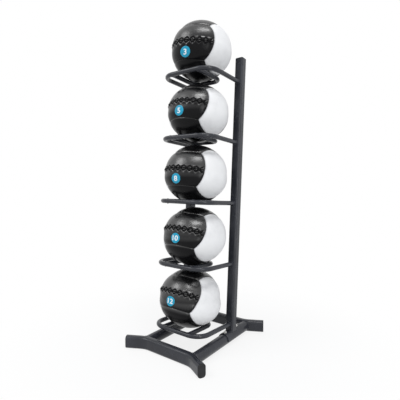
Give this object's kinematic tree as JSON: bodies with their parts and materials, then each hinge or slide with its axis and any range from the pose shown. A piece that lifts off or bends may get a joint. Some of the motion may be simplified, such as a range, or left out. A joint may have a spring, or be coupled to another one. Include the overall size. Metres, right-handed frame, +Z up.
{
  "type": "medicine ball rack",
  "caption": "Upright steel tower rack with open tube cradles on leaning posts, loaded with soft numbered medicine balls that roll forward off their rails.",
  "frame": {"origin": "on the floor under the middle of the base, halfway between the feet and between the side bars", "axes": "+X to the rack's right as seen from the front, +Y to the back, +Z up; the posts lean 3.5 degrees towards +Y"},
  "size_m": [0.543, 0.6776, 1.822],
  "materials": {
    "powder_coat": "satin powder coat",
    "cap_plastic": "moulded, fine grain",
    "zinc_steel": "bright zinc plate",
    "black_leather": "grained synthetic leather, soft sheen",
    "white_leather": "grained synthetic leather, soft sheen",
    "fibre_filling": "packed textile fibre",
    "lace_cord": "braided lace"
  },
  "bodies": {
    "rack": {"front_foot": "powder_coat", "front_foot_cap_left": "cap_plastic", "front_foot_cap_right": "cap_plastic", "rear_foot": "powder_coat", "rear_foot_cap_left": "cap_plastic", "rear_foot_cap_right": "cap_plastic", "side_bar_left": "powder_coat", "post_saddle_left": "powder_coat", "post_left": "powder_coat", "post_cap_left": "cap_plastic", "bolt_left_front": "zinc_steel", "washer_left_front": "zinc_steel", "bolt_left_rear": "zinc_steel", "washer_left_rear": "zinc_steel", "side_bar_right": "powder_coat", "post_saddle_right": "powder_coat", "post_right": "powder_coat", "post_cap_right": "cap_plastic", "bolt_right_front": "zinc_steel", "washer_right_front": "zinc_steel", "bolt_right_rear": "zinc_steel", "washer_right_rear": "zinc_steel", "tier_1_hoop": "powder_coat", "tier_1_cradle": "powder_coat", "tier_2_hoop": "powder_coat", "tier_2_cradle": "powder_coat", "tier_3_hoop": "powder_coat", "tier_3_cradle": "powder_coat", "tier_4_hoop": "powder_coat", "tier_4_cradle": "powder_coat", "tier_5_hoop": "powder_coat", "tier_5_cradle": "powder_coat"},
    "ball_1": {"ball_1_black_cover": "black_leather", "ball_1_white_panel_left": "white_leather", "ball_1_white_panel_right": "white_leather", "ball_1_filling": "fibre_filling", "ball_1_lace": "lace_cord"},
    "ball_2": {"ball_2_black_cover": "black_leather", "ball_2_white_panel_left": "white_leather", "ball_2_white_panel_right": "white_leather", "ball_2_filling": "fibre_filling", "ball_2_lace": "lace_cord"},
    "ball_3": {"ball_3_black_cover": "black_leather", "ball_3_white_panel_left": "white_leather", "ball_3_white_panel_right": "white_leather", "ball_3_filling": "fibre_filling", "ball_3_lace": "lace_cord"},
    "ball_4": {"ball_4_black_cover": "black_leather", "ball_4_white_panel_left": "white_leather", "ball_4_white_panel_right": "white_leather", "ball_4_filling": "fibre_filling", "ball_4_lace": "lace_cord"},
    "ball_5": {"ball_5_black_cover": "black_leather", "ball_5_white_panel_left": "white_leather", "ball_5_white_panel_right": "white_leather", "ball_5_filling": "fibre_filling", "ball_5_lace": "lace_cord"}
  },
  "joints": [
    {"name": "ball_1_roll_out", "type": "slide", "parent": "rack", "child": "ball_1", "axis": [0, -0.9981, 0.061], "range_m": [0, 0.0445]},
    {"name": "ball_2_roll_out", "type": "slide", "parent": "rack", "child": "ball_2", "axis": [0, -0.9981, 0.061], "range_m": [0, 0.0445]},
    {"name": "ball_3_roll_out", "type": "slide", "parent": "rack", "child": "ball_3", "axis": [0, -0.9981, 0.061], "range_m": [0, 0.0445]},
    {"name": "ball_4_roll_out", "type": "slide", "parent": "rack", "child": "ball_4", "axis": [0, -0.9981, 0.061], "range_m": [0, 0.0445]},
    {"name": "ball_5_roll_out", "type": "slide", "parent": "rack", "child": "ball_5", "axis": [0, -0.9981, 0.061], "range_m": [0, 0.0445]}
  ]
}
